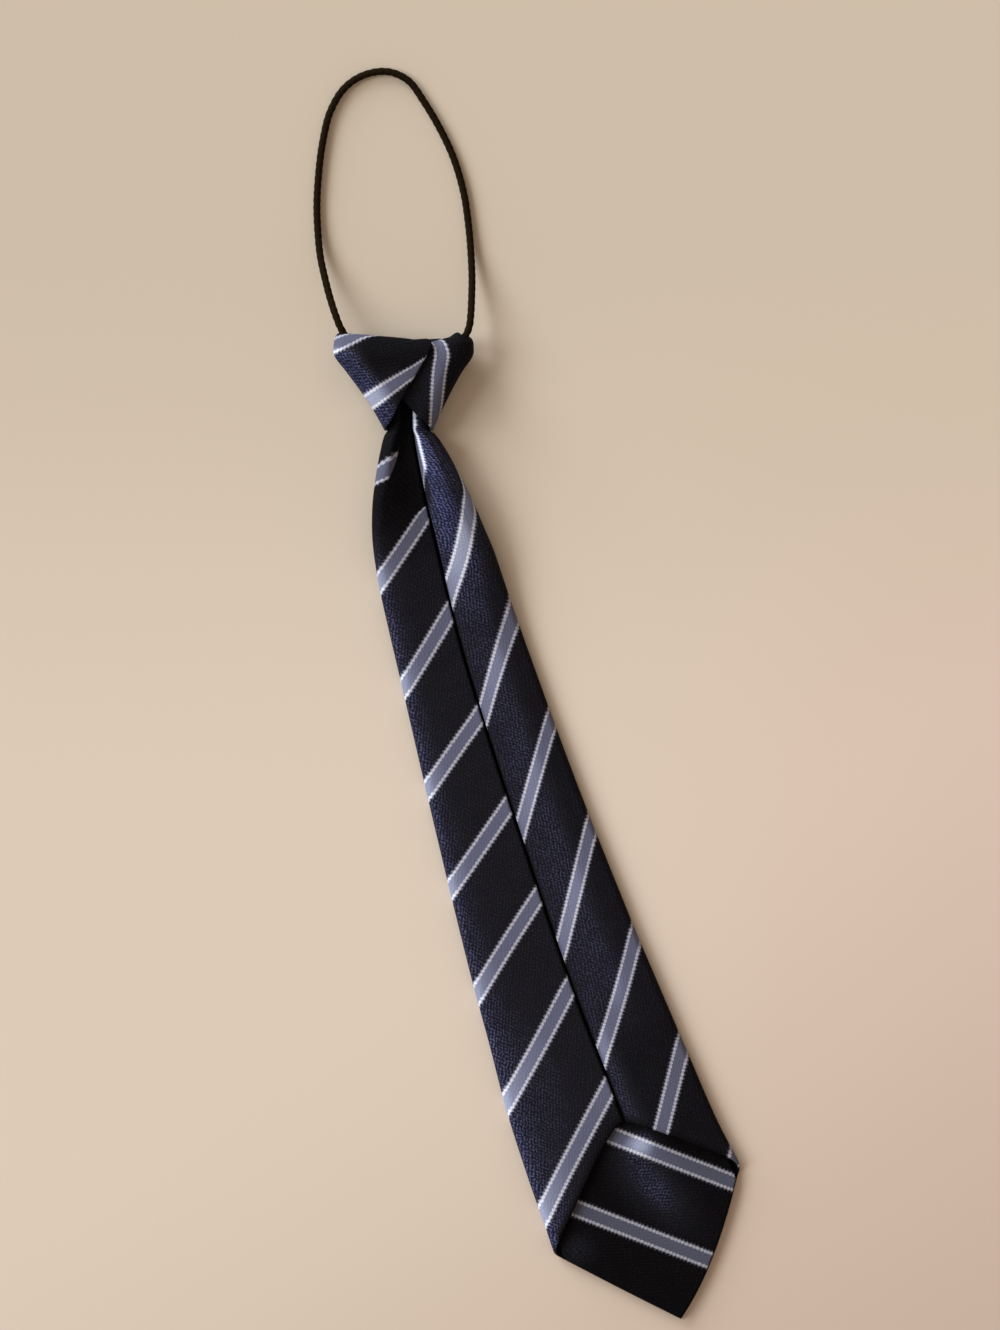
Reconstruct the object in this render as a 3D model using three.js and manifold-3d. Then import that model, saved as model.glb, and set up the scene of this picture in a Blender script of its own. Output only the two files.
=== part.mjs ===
// A pre-tied elastic tie, lying on its face: a folded blade with a lined point, a wound knot with a short
// neckband inside it, and one loop of round elastic.
// Millimetres. +Y runs up the blade from its point to the knot, +X across it and +Z out of the tie's back.
// The tables measure from the blade's point. The origin is on the table, under the middle of the cloth.
import * as THREE from "three";
import { mergeVertices } from "three/addons/utils/BufferGeometryUtils.js";
import Module from "manifold-3d";

const wasm = await Module();
wasm.setup();

// Driving dimensions
const CLOTH = 1.2; // thickness of a wall of cloth with its backing
const ORIGIN = { x: 1.9, fromPoint: 173.9 }; // where the origin lies, across and up from the blade's point
const SEAM_GAP = 0.7; // between the two edges that meet down the back
const LAYER_GAP = 0.35; // between layers of cloth that lie on each other

// The blade's point, whose two edges run out and up from it: height = rise * x + curve * x * x.
const POINT_EDGE = {
  left: { rise: 1.01, curve: 0.001 },
  right: { rise: 0.8, curve: 0.0125 },
};
// Where each flap ends, as distances from the point: its end runs straight from the fold towards the seam, and
// bends down by droop where it gets there.
const FLAP_END = {
  left: { atFold: 37, atSeam: 72.6, droop: 3.9 },
  right: { atFold: 46, atSeam: 68.2, droop: 0 },
};
const DROOP_POWER = 8; // a high one keeps the bend close to the seam
// The blade's sections, up from the point. left and right: its outline. seam: where its two edges meet.
// base: height of its underside. slant: how far a section drops from left to right, for every mm across.
// leftRoll and rightRoll: radii of its folds. leftFall and rightFall: how far each flap drops from its fold
// to the seam. leftCrown and rightCrown: how far it stands up between them.
const BLADE = table(
  "from left right seam base slant leftRoll rightRoll leftFall rightFall leftCrown rightCrown",
  [44, -33.2, 34.8, 3.2, 0, 0, 1.7, 1.7, 0.2, 0.2, 0.2, 0.2],
  [60, -33.5, 32.3, 3.2, 0, 0, 1.7, 1.7, 0.3, 0.2, 0.2, 0.3],
  [84, -33.2, 30.2, 2.2, 0, 0, 1.7, 1.7, 0.4, 0.3, 0.2, 0.3],
  [108, -31.6, 28.2, 1.0, 0, 0, 1.7, 1.7, 0.4, 0.3, 0.2, 0.3],
  [132, -30.2, 26.3, 0.4, 0, 0, 1.7, 1.7, 0.4, 0.3, 0.2, 0.3],
  [180, -26.2, 23.6, 0.3, 0, 0, 1.7, 1.7, 0.4, 0.2, 0.2, 0.4],
  [228, -21.7, 22.2, 1.1, 0, 0, 1.7, 1.7, 0.5, 0.1, 0.2, 0.6],
  [250, -19.6, 21.9, 2.4, 0, -0.03, 1.7, 1.7, 0.7, 0.0, 0.2, 0.8],
  [262, -18.2, 21.9, 3.5, 0.2, -0.08, 1.8, 1.7, 0.9, 0.0, 0.2, 1.0],
  [275, -15.7, 21.1, 4.7, 0.9, -0.15, 2.1, 1.8, 1.6, 0.1, 0.1, 1.3],
  [285, -12.3, 20.3, 5.6, 1.5, -0.21, 2.5, 2.0, 2.4, 0.4, 0.0, 1.6],
  [294, -8.1, 19.0, 6.6, 1.8, -0.27, 2.9, 2.3, 3.2, 0.8, -0.2, 1.6],
  [303, -3.4, 17.2, 7.8, 1.8, -0.32, 3.0, 2.6, 3.4, 1.2, -0.3, 1.0],
  [308.2, -0.4, 15.4, 8.6, 1.9, -0.333, 2.9, 2.6, 2.8, 1.0, -0.2, 0.6],
  [309.8, 1.3, 13.5, 8.9, 2.5, -0.333, 2.4, 2.2, 2.6, 1.0, -0.2, 0.6],
  [315, 3.8, 15.2, 10.2, 2.5, -0.333, 2.0, 1.9, 1.6, 0.8, 0, 0.2],
  [324, 6.8, 18.2, 13.2, 2.5, -0.333, 1.9, 1.9, 1.2, 0.8, 0, 0.2],
);
// The last sections that the blade's wall is made through, close together where it enters the knot.
const NECK_ROWS = [300, 303, 305.5, 307.2, 308.3, 309.6, 312, 316, 320, 324];

// The knot stands upright on its own axis, which leans from the blade's by this angle.
const KNOT_LEAN = Math.atan(1 / 3);
const KNOT_MOUTH = { x: 7.6, fromPoint: 309.5 }; // the middle of its lower end
// The knot's outer form, up from its lower end. left and right: half widths. front and back: heights over
// the table.
const KNOT = table(
  "up left right front back",
  [0, 8.3, 7.9, 0.5, 10.6],
  [6.5, 11.8, 10.9, 0, 12.0],
  [14, 17.0, 14.9, 0, 13.7],
  [20, 21.5, 18.7, 0, 15.0],
  [25, 24.8, 21.4, 0, 15.8],
  [28, 25.0, 21.6, 0.3, 15.6],
  [32.5, 23.9, 20.6, 1.2, 14.4],
);
const KNOT_FULLNESS = 0.72; // 1 is a plain oval section, and less is squarer
const KNOT_TOP = { middle: 30.7, slope: -0.11, widestAt: 25 }; // its upper rim slants a little
// The rim turns over and in by this much. share: the most of the knot's own half depth that it may take.
const RIM_ROLL = { height: 2.2, inward: 3.0, sideways: 1.5, share: 0.55, middle: 7.95 };
// The left wing's folded edge crosses the back from the tip of the notch, x and up, to the rim.
const WING_EDGE = { x: -2.3, up: 10.2, slope: 0.6 };
// The notch opens downwards from there. leftSlope and rightSlope: how steep its sides are.
const NOTCH = { leftSlope: 2.0, rightSlope: 0.97 };
const WING_TUCK = 26; // degrees that the right wing goes on under the left one
const WING_SETTLE = 34; // degrees over which it then rises to the knot's outside
const WING_SHARE = 0.3; // of the wound strip, at each end, that follows the left wing's slanting edge

// The elastic
const CORD_RADIUS = 1.25;
const CORD_SIDES = 8;
const CORD_STEPS = 60;
// Its route, upright on the knot's axis: from the middle of the neckband out at the left, round, and back in
// at the right. It comes down from the knot's height and lies on the table from there on.
const CORD_ROUTE = [
  [-0.5, 26.0, 8.0], [-6.5, 26.2, 8.0], [-12.5, 26.8, 8.2], [-17.0, 28.2, 8.6], [-20.4, 30.6, 9.2],
  [-22.7, 34.2, 9.6], [-24.5, 38.8, 9.0], [-26.3, 44.4, 7.2], [-28.0, 51.0, 5.0], [-29.5, 58.0, 3.1],
  [-30.3, 65.5, 1.8], [-30.7, 74.5, 1.3], [-30.3, 83.5, 1.3], [-28.9, 95.5, 1.3], [-26.2, 106.5, 1.3],
  [-21.2, 114.6, 1.3], [-14.2, 118.9, 1.3], [-6.8, 119.7, 1.3], [-0.2, 116.7, 1.3], [5.0, 109.7, 1.3],
  [10.7, 100.0, 1.3], [15.0, 90.5, 1.3], [18.2, 79.5, 1.3], [19.8, 69.0, 1.35], [20.6, 60.0, 2.1],
  [21.0, 51.5, 3.9], [20.9, 44.5, 6.3], [20.6, 38.2, 8.3], [20.1, 34.4, 9.1], [18.6, 31.0, 9.3],
  [15.6, 28.3, 8.9], [11.5, 26.8, 8.4], [6.3, 26.1, 8.1], [0.5, 26.0, 8.0],
];

// The neckband is an oval tube of cloth round the hidden stretch of the elastic. leftEnd and rightEnd: its
// ends, counted in points of the elastic's route.
const NECKBAND = { halfHeight: 3.4, halfDepth: 3.2, sides: 16, steps: 14, leftEnd: 3.2, rightEnd: 29 };

// The cloth of the point's lining. inset: its gap to the blade's edges. foot: how far up its own point is.
// underFlaps: how far it goes on under the flaps.
const TIPPING = { thickness: 1.0, inset: 1.6, foot: 2.24, underFlaps: 7 };

// Looks, for the materials of the scene graph
const NAVY = { color: 0x191b2c, roughness: 0.55, metalness: 0 };
const BLACK = { color: 0x17130d, roughness: 0.8, metalness: 0 };

const { lerp, clamp, degToRad, smoothstep } = THREE.MathUtils;

// Rows of numbers, each under the name of its column.
function table(columns, ...rows) {
  const names = columns.split(" ");
  return rows.map((row) => Object.fromEntries(row.map((value, k) => [names[k], value])));
}

// Reads a table as smooth curves that never overshoot it: gives the whole row at a place between its rows.
function rowAt(rows, key, place) {
  const last = rows.length - 1;
  const x = clamp(place, rows[0][key], rows[last][key]);
  let i = 0;
  while (i < last - 1 && rows[i + 1][key] < x) i += 1;
  const span = rows[i + 1][key] - rows[i][key];
  const t = (x - rows[i][key]) / span;
  const slope = (k, name) => {
    const [a, b, c] = [rows[Math.max(k - 1, 0)], rows[k], rows[Math.min(k + 1, last)]];
    const turnsBack = a !== b && b !== c && (c[name] - b[name]) * (b[name] - a[name]) <= 0;
    return turnsBack ? 0 : (c[name] - a[name]) / (c[key] - a[key]);
  };
  const row = {};
  for (const name of Object.keys(rows[0])) {
    const [p, q] = [rows[i][name], rows[i + 1][name]];
    const [m, n] = [slope(i, name) * span, slope(i + 1, name) * span];
    row[name] = p + t * (m + t * (3 * (q - p) - 2 * m - n + t * (2 * (p - q) + m + n)));
  }
  return row;
}

// A closed wall of cloth: points on its middle surface, thickened to both sides along its normals.
function clothWall(grid, thickness) {
  const [columns, rows] = [grid.length, grid[0].length];
  const positions = [];
  for (const side of [0.5, -0.5]) {
    for (let i = 0; i < columns; i += 1) {
      for (let j = 0; j < rows; j += 1) {
        const across = grid[Math.min(i + 1, columns - 1)][j].clone().sub(grid[Math.max(i - 1, 0)][j]);
        const along = grid[i][Math.min(j + 1, rows - 1)].clone().sub(grid[i][Math.max(j - 1, 0)]);
        const normal = across.cross(along).normalize();
        positions.push(...grid[i][j].clone().addScaledVector(normal, side * thickness));
      }
    }
  }
  const vertex = (i, j, under) => (under ? columns * rows : 0) + i * rows + j;
  const faces = [];
  const quad = (a, b, c, d) => faces.push(a, b, c, a, c, d);
  for (let i = 0; i < columns - 1; i += 1) {
    for (let j = 0; j < rows - 1; j += 1) {
      quad(vertex(i, j), vertex(i + 1, j), vertex(i + 1, j + 1), vertex(i, j + 1));
      quad(vertex(i, j, true), vertex(i, j + 1, true), vertex(i + 1, j + 1, true), vertex(i + 1, j, true));
    }
    const end = rows - 1;
    quad(vertex(i, 0), vertex(i, 0, true), vertex(i + 1, 0, true), vertex(i + 1, 0));
    quad(vertex(i, end), vertex(i + 1, end), vertex(i + 1, end, true), vertex(i, end, true));
  }
  for (let j = 0; j < rows - 1; j += 1) {
    const end = columns - 1;
    quad(vertex(0, j), vertex(0, j + 1), vertex(0, j + 1, true), vertex(0, j, true));
    quad(vertex(end, j), vertex(end, j, true), vertex(end, j + 1, true), vertex(end, j + 1));
  }
  const geometry = new THREE.BufferGeometry();
  geometry.setAttribute("position", new THREE.Float32BufferAttribute(positions, 3));
  geometry.setIndex(faces);
  return geometry;
}

// Cuts closed geometries out of another.
function cutAway(geometry, ...cutters) {
  const [solid, ...rooms] = [geometry, ...cutters].map((source) => {
    const bare = new THREE.BufferGeometry();
    bare.setAttribute("position", source.getAttribute("position"));
    bare.setIndex(source.getIndex());
    const merged = mergeVertices(bare, 1e-3);
    const vertProperties = merged.getAttribute("position").array;
    const triVerts = new Uint32Array(merged.getIndex().array);
    return new wasm.Manifold(new wasm.Mesh({ numProp: 3, vertProperties, triVerts }));
  });
  const mesh = rooms.reduce((left, room) => left.subtract(room), solid).getMesh();
  const cut = new THREE.BufferGeometry();
  cut.setAttribute("position", new THREE.BufferAttribute(mesh.vertProperties, 3));
  cut.setIndex(new THREE.BufferAttribute(mesh.triVerts, 1));
  return cut;
}

function named(name, geometry, look) {
  geometry.computeVertexNormals();
  const mesh = new THREE.Mesh(geometry, new THREE.MeshStandardMaterial(look));
  mesh.name = name;
  return mesh;
}

// How far up from the point its V edge is, at a distance x from the centre line.
function pointEdge(x) {
  const { rise, curve } = x < 0 ? POINT_EDGE.left : POINT_EDGE.right;
  return rise * Math.abs(x) + curve * x * x;
}

// The stations across the unfolded blade, from the left flap's free edge round the front to the right
// flap's. t runs across the front, round a fold, or from a fold to the seam.
function bladeStations() {
  const [flap, fold, front] = [6, 5, 6];
  const [first] = BLADE;
  const left = first.left + first.leftRoll + CLOTH / 2;
  const right = first.right - first.rightRoll - CLOTH / 2;
  const tip = -left / (right - left); // the station that ends in the point
  const stations = [];
  for (let k = flap; k > 0; k -= 1) stations.push({ part: "flap", side: "left", t: k / flap });
  for (let k = fold; k > 0; k -= 1) stations.push({ part: "fold", side: "left", t: k / fold });
  for (let k = 0; k < front; k += 1) stations.push({ part: "front", t: (tip * k) / front });
  for (let k = 0; k <= front; k += 1) stations.push({ part: "front", t: lerp(tip, 1, k / front) });
  for (let k = 1; k <= fold; k += 1) stations.push({ part: "fold", side: "right", t: k / fold });
  for (let k = 1; k <= flap; k += 1) stations.push({ part: "flap", side: "right", t: k / flap });
  return stations;
}

// A point on the middle of the blade's cloth.
function bladePoint({ part, side, t }, distance) {
  const row = rowAt(BLADE, "from", distance);
  const low = row.base + CLOTH / 2;
  const at = (x, z) => {
    const drop = row.slant * (x - (row.left + row.right) / 2);
    return new THREE.Vector3(x, distance + drop, z);
  };
  const axis = {
    left: row.left + row.leftRoll + CLOTH / 2,
    right: row.right - row.rightRoll - CLOTH / 2,
  };
  if (part === "front") return at(lerp(axis.left, axis.right, t), low);
  const out = side === "left" ? -1 : 1;
  const roll = row[`${side}Roll`];
  if (part === "fold") {
    const turn = (t - 0.5) * Math.PI;
    return at(axis[side] + out * roll * Math.cos(turn), low + roll + roll * Math.sin(turn));
  }
  const fall = row[`${side}Fall`] * t * t * (3 - 2 * t);
  const crown = row[`${side}Crown`] * Math.sin(t * Math.PI);
  return at(lerp(axis[side], row.seam + (out * SEAM_GAP) / 2, t), low + 2 * roll - fall + crown);
}

// How far from the point the cloth starts at a station: on the V edge, at a fold, or on a flap's end.
function bladeStart(station) {
  const { part, side, t } = station;
  const first = BLADE[0].from;
  if (part === "front") return pointEdge(bladePoint(station, first).x);
  const { atFold, atSeam, droop } = FLAP_END[side];
  if (part === "flap") return lerp(atFold, atSeam, t) - droop * t ** DROOP_POWER;
  const corner = pointEdge(bladePoint({ part, side, t: 0 }, first).x);
  return lerp(corner, atFold, t);
}

function makeBlade() {
  const rows = 22;
  const crowding = 1.2; // rows come closer together towards the neck
  const grid = bladeStations().map((station) => {
    const start = bladeStart(station);
    const column = [];
    for (let j = 0; j < rows; j += 1) {
      const share = 1 - (1 - j / rows) ** crowding;
      column.push(bladePoint(station, lerp(start, NECK_ROWS[0], share)));
    }
    return column.concat(NECK_ROWS.map((distance) => bladePoint(station, distance)));
  });
  return named("blade", clothWall(grid, CLOTH), NAVY);
}

// The lining of the point: flat, just inside the V edges, and on under both flaps.
function makeTipping() {
  const { thickness, inset, foot, underFlaps } = TIPPING;
  const [row] = BLADE;
  const left = row.left + row.leftRoll + CLOTH + inset;
  const right = row.right - row.rightRoll - CLOTH - inset;
  const outline = new THREE.Shape();
  outline.moveTo(0, foot);
  const stops = 8;
  for (let k = 1; k <= stops; k += 1) {
    const x = (right * k) / stops;
    outline.lineTo(x, foot + pointEdge(x));
  }
  outline.lineTo(right, FLAP_END.right.atFold + underFlaps);
  outline.lineTo(row.seam, FLAP_END.left.atSeam + underFlaps);
  outline.lineTo(left, FLAP_END.left.atFold + underFlaps);
  for (let k = stops; k > 0; k -= 1) {
    const x = (left * k) / stops;
    outline.lineTo(x, foot + pointEdge(x));
  }
  const geometry = new THREE.ExtrudeGeometry(outline, { depth: thickness, bevelEnabled: false });
  const mesh = named("tipping", geometry, NAVY);
  mesh.position.z = CLOTH + LAYER_GAP;
  return mesh;
}

// The knot's middle surface of cloth at an angle round its axis, 0 at the right and 90 degrees at the back.
function knotPoint(angle, up, inset) {
  const row = rowAt(KNOT, "up", up);
  const [c, s] = [Math.cos(angle), Math.sin(angle)];
  const half = (c < 0 ? row.left : row.right) - CLOTH / 2 - inset;
  const depth = (row.back - row.front) / 2 - CLOTH / 2 - inset;
  const x = half * Math.sign(c) * Math.abs(c) ** KNOT_FULLNESS;
  const z = (row.back + row.front) / 2 + depth * Math.sign(s) * Math.abs(s) ** KNOT_FULLNESS;
  return new THREE.Vector3(x, up, z);
}

// The angle at which the left wing's folded edge lies at a height.
function wingEdgeAngle(up) {
  const row = rowAt(KNOT, "up", up);
  const x = WING_EDGE.x + WING_EDGE.slope * (up - WING_EDGE.up);
  const half = x < 0 ? row.left : row.right;
  return Math.acos(Math.sign(x) * Math.min(Math.abs(x) / half, 1) ** (1 / KNOT_FULLNESS));
}

// The angle at which a column of the wound strip lies at a height. Its two ends follow the left wing's edge,
// and the front stays straight.
function stripAngle(share, up) {
  const tuck = degToRad(WING_TUCK);
  const straight = wingEdgeAngle(KNOT_TOP.middle / 2);
  const follow = smoothstep(Math.abs(share - 0.5), 0.5 - WING_SHARE, 0.5);
  const edge = lerp(straight, wingEdgeAngle(Math.max(up, WING_EDGE.up)), follow);
  return edge + tuck - share * (tuck + 2 * Math.PI);
}

// Where a column of the strip starts: at the knot's lower end, or on a side of the notch.
function stripFoot(share) {
  if (Math.abs(share - 0.5) < 0.5 - WING_SHARE) return 0;
  const slope = share < 0.5 ? NOTCH.rightSlope : NOTCH.leftSlope;
  const tries = 12; // each brings the foot nearer to the notch's side
  let foot = WING_EDGE.up;
  for (let k = 0; k < tries; k += 1) {
    const away = knotPoint(stripAngle(share, foot), foot, 0).x - WING_EDGE.x;
    const hidden = share < 0.5 && away < 0; // the start of the strip, under the left wing
    foot = hidden ? WING_EDGE.up : clamp(WING_EDGE.up - slope * Math.abs(away), 0, WING_EDGE.up);
  }
  return foot;
}

// The strip wound round the knot: from under the left wing over the right wing, the right side, the front
// and the left side, and back over its own start as the left wing. Its rim turns over and in.
function makeKnotWrap() {
  const [columns, rows, rimRows] = [46, 9, 3];
  const turn = WING_TUCK + 360;
  const grid = [];
  for (let i = 0; i <= columns; i += 1) {
    const share = i / columns;
    const foot = stripFoot(share);
    const inset = (CLOTH + LAYER_GAP) * (1 - smoothstep(share * turn, WING_TUCK, WING_TUCK + WING_SETTLE));
    const widest = knotPoint(stripAngle(share, KNOT_TOP.widestAt), KNOT_TOP.widestAt, 0);
    const top = KNOT_TOP.middle + KNOT_TOP.slope * widest.x - inset;
    const rim = top - RIM_ROLL.height;
    const column = [];
    for (let j = 0; j <= rows; j += 1) {
      const up = lerp(foot, rim, j / rows);
      column.push(knotPoint(stripAngle(share, up), up, inset));
    }
    for (let j = 1; j <= rimRows; j += 1) {
      const roll = (j / rimRows) * (Math.PI / 2);
      const turned = 1 - Math.cos(roll);
      const point = column[rows].clone();
      const depth = point.z - RIM_ROLL.middle;
      point.z -= Math.sign(depth) * Math.min(RIM_ROLL.inward * turned, RIM_ROLL.share * Math.abs(depth));
      point.x -= Math.sign(point.x) * Math.min(RIM_ROLL.sideways * turned, Math.abs(point.x));
      point.y += RIM_ROLL.height * Math.sin(roll);
      column.push(point);
    }
    grid.push(column);
  }
  return clothWall(grid, CLOTH);
}

function cordCurve() {
  const points = CORD_ROUTE.map((point) => new THREE.Vector3(...point));
  return new THREE.CatmullRomCurve3(points, false, "centripetal");
}

// A regular outline with this many sides, an oval where the two radii differ.
function ring(sides, radiusX, radiusY, into = new THREE.Shape()) {
  for (let k = 0; k < sides; k += 1) {
    const turn = (k * 2 * Math.PI) / sides;
    const point = [radiusX * Math.cos(turn), radiusY * Math.sin(turn)];
    if (k === 0) into.moveTo(...point);
    else into.lineTo(...point);
  }
  into.closePath();
  return into;
}

function makeCord(radius) {
  const section = ring(CORD_SIDES, radius, radius);
  return new THREE.ExtrudeGeometry(section, { steps: CORD_STEPS, extrudePath: cordCurve() });
}

// The path of the neckband, over the knot's top from its right end to its left one.
function neckbandPath() {
  const { steps, leftEnd, rightEnd } = NECKBAND;
  const last = CORD_ROUTE.length - 1;
  const whole = cordCurve();
  const path = [];
  for (let k = 0; k <= steps; k += 1) {
    const place = lerp(rightEnd - last, leftEnd, k / steps);
    path.push(whole.getPoint((place < 0 ? place + last : place) / last));
  }
  return new THREE.CatmullRomCurve3(path, false, "centripetal");
}

function makeNeckband() {
  const { halfHeight, halfDepth, sides, steps } = NECKBAND;
  const section = ring(sides, halfHeight, halfDepth);
  section.holes.push(ring(sides, halfHeight - CLOTH, halfDepth - CLOTH, new THREE.Path()));
  return new THREE.ExtrudeGeometry(section, { steps: 2 * steps, extrudePath: neckbandPath() });
}

// The room that the neckband takes in the knot, with a gap all round.
function neckbandRoom() {
  const { halfHeight, halfDepth, sides, steps } = NECKBAND;
  const section = ring(sides, halfHeight + LAYER_GAP, halfDepth + LAYER_GAP);
  return new THREE.ExtrudeGeometry(section, { steps: 2 * steps, extrudePath: neckbandPath() });
}

const knot = new THREE.Group();
knot.position.set(KNOT_MOUTH.x, KNOT_MOUTH.fromPoint, 0);
knot.rotation.z = -KNOT_LEAN;
knot.add(
  named("knot_wrap", cutAway(makeKnotWrap(), neckbandRoom(), makeCord(CORD_RADIUS + LAYER_GAP)), NAVY),
  named("neckband", makeNeckband(), NAVY),
  named("elastic_cord", makeCord(CORD_RADIUS), BLACK),
);

const tie = new THREE.Group();
tie.position.set(-ORIGIN.x, -ORIGIN.fromPoint, 0);
tie.add(makeBlade(), makeTipping(), knot);

export default tie;
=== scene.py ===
"""The looks of a pre-tied elastic tie that lies on its face: striped twill cloth and a braided elastic.

Lengths are in millimetres, with +Y up the blade from its point to the knot and +Z out of the tie's back.
The tables measure from the blade's point, and the knot's own ones from the middle of its lower end.
"""
import math

import bpy
import numpy as np
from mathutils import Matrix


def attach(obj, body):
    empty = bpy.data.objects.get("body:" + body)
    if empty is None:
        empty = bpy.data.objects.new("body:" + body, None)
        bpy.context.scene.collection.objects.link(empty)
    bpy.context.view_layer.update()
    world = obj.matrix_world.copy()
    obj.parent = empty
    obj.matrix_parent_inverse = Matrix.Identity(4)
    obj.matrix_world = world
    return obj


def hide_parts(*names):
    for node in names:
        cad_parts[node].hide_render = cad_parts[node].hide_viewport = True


MM = 0.001
ORIGIN = (1.9, 173.9)  # where the frame's origin lies, across and up from the blade's point
CLOTH = 1.2  # thickness of a wall of cloth
SEAM_GAP = 0.7
LAYER_GAP = 0.35


def table(columns, *rows):
    """Rows of numbers, each under the name of its column."""
    return dict(zip(columns.split(), np.array(rows, float).T))


def read(rows, key, place):
    """The whole row at each place between a table's rows, on smooth curves that never overshoot it."""
    x = rows[key]
    at = np.clip(np.asarray(place, float), x[0], x[-1])
    i = np.clip(np.searchsorted(x, at) - 1, 0, len(x) - 2)
    span = x[i + 1] - x[i]
    t = (at - x[i]) / span
    found = {}
    for name, y in rows.items():
        rise = np.diff(y)
        inner = np.where(rise[1:] * rise[:-1] <= 0, 0, (y[2:] - y[:-2]) / (x[2:] - x[:-2]))
        slope = np.concatenate(([rise[0] / (x[1] - x[0])], inner, [rise[-1] / (x[-1] - x[-2])]))
        m, n = slope[i] * span, slope[i + 1] * span
        p, q = y[i], y[i + 1]
        found[name] = p + t * (m + t * (3 * (q - p) - 2 * m - n + t * (2 * (p - q) + m + n)))
    return found


# The blade's V edges run out and up from the point: height = rise * x + curve * x * x.
POINT_EDGE = {"left": {"rise": 0.985, "curve": 0.001}, "right": {"rise": 0.75, "curve": 0.0135}}
# Where each flap ends, as distances from the point: at its fold and at the seam. It droops beside the seam,
# and arches up between the two.
FLAP_END = {
    "left": {"at_fold": 37, "at_seam": 72.6, "droop": 3.9, "arch": 0},
    "right": {"at_fold": 46, "at_seam": 68.2, "droop": 0, "arch": 1.6},
}
DROOP_POWER = 8  # a high one keeps the bend close to the seam
# The blade's sections. left and right: its outline. seam: where its two edges meet. base: height of its
# underside. slant: how far a section rises from left to right, for every mm across. The rolls are the radii
# of its folds. A flap drops by its fall from its fold to the seam, and stands up by its crown between them.
BLADE = table(
    "from left right seam base slant left_roll right_roll left_fall right_fall left_crown right_crown",
    [44, -33.2, 34.8, 3.2, 0, 0, 1.7, 1.7, 0.2, 0.2, 0.2, 1.2],
    [60, -33.5, 32.3, 3.2, 0, 0, 1.7, 1.7, 0.3, 0.2, 0.2, 1.4],
    [84, -33.2, 30.2, 2.2, 0, 0, 1.7, 1.7, 0.4, 0.3, 0.2, 0.7],
    [108, -31.6, 28.2, 1.0, 0, 0, 1.7, 1.7, 0.4, 0.3, 0.2, 0.3],
    [132, -30.2, 26.3, 0.4, 0, 0, 1.7, 1.7, 0.4, 0.3, 0.2, 0.3],
    [180, -26.2, 23.6, 0.3, 0, 0, 1.7, 1.7, 0.4, 0.2, 0.2, 0.4],
    [228, -21.7, 22.2, 1.1, 0.1, 0, 1.7, 1.7, 0.5, 0.1, 0.2, 0.6],
    [250, -19.6, 21.9, 2.4, 0.9, -0.03, 1.7, 2.2, 0.7, 0.6, 0.2, 0.8],
    [262, -18.2, 21.9, 3.5, 1.7, -0.08, 1.8, 2.9, 0.9, 1.2, 0.2, 1.0],
    [275, -15.7, 21.1, 4.7, 2.8, -0.15, 2.1, 3.6, 1.6, 1.9, 0.1, 1.3],
    [285, -12.3, 20.3, 5.6, 3.3, -0.21, 2.5, 3.9, 2.4, 2.4, 0.0, 1.6],
    [294, -8.1, 19.0, 6.6, 3.2, -0.27, 2.9, 3.7, 3.2, 2.4, -0.2, 1.6],
    [303, -3.4, 17.2, 7.8, 2.3, -0.32, 3.0, 3.1, 3.4, 1.8, -0.3, 1.0],
    [308.2, -0.4, 15.4, 8.6, 1.9, -0.333, 2.9, 2.6, 2.8, 1.0, -0.2, 0.6],
    [309.8, 1.3, 13.5, 8.9, 2.5, -0.333, 2.4, 2.2, 2.6, 1.0, -0.2, 0.6],
    [315, 3.8, 15.2, 10.2, 2.5, -0.333, 2.0, 1.9, 1.6, 0.8, 0, 0.2],
    [324, 6.8, 18.2, 13.2, 2.5, -0.333, 1.9, 1.9, 1.2, 0.8, 0, 0.2],
)
BLADE_FOOT = {name: column[0] for name, column in BLADE.items()}  # its lowest section

# Stripes are counted from the knot. These pairs say how far from the point each one's middle crosses the
# lines of the blade, and which stripe it is.
PITCH = 24.3  # from one stripe to the next, square to them
BIAS = math.radians(51.5)  # how steeply the stripes cross the front
CROSSINGS = {
    "left_fold": [
        (298.2, 0), (263.7, 1), (227.9, 2), (193.2, 3), (159.6, 4), (123.5, 5), (85.8, 6), (46.5, 7),
    ],
    "left_seam": [
        (324.0, -0.2), (305.0, -0.03), (297.0, 0.1), (282.3, 1), (248.4, 2), (212.3, 3), (181.0, 4),
        (149.2, 5), (117.4, 6), (81.4, 7),
    ],
    "right_seam": [
        (324.0, -1.95), (308.0, -1.985), (296.0, -2.026), (288.5, -1.92), (254.1, -1), (211.6, 0),
        (171.5, 1), (129.3, 2), (91.6, 3), (61.0, 3.69),
    ],
    "right_fold": [
        (309.0, -1.4), (287.0, -1), (241.8, 0), (204.7, 1), (167.1, 2), (127.8, 3), (88.0, 4), (46.2, 5),
    ],
}

# Near the knot the left flap falls steeply from a crease beside its fold, which hides where a stripe goes
# on. Past it the stripe is faded out, partly as a fold tucked under and partly as painted shade. The crease
# lies at the fold at first, and moves across the flap by a share of it.
CREASE = {"steep_up": (292, 297.5), "power": 2.2}
CREASE_HIDES_AND_SHADES = {"up": (287, 290), "share": 0.2, "moves_up": (294, 303), "soft": 0.05}
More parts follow.
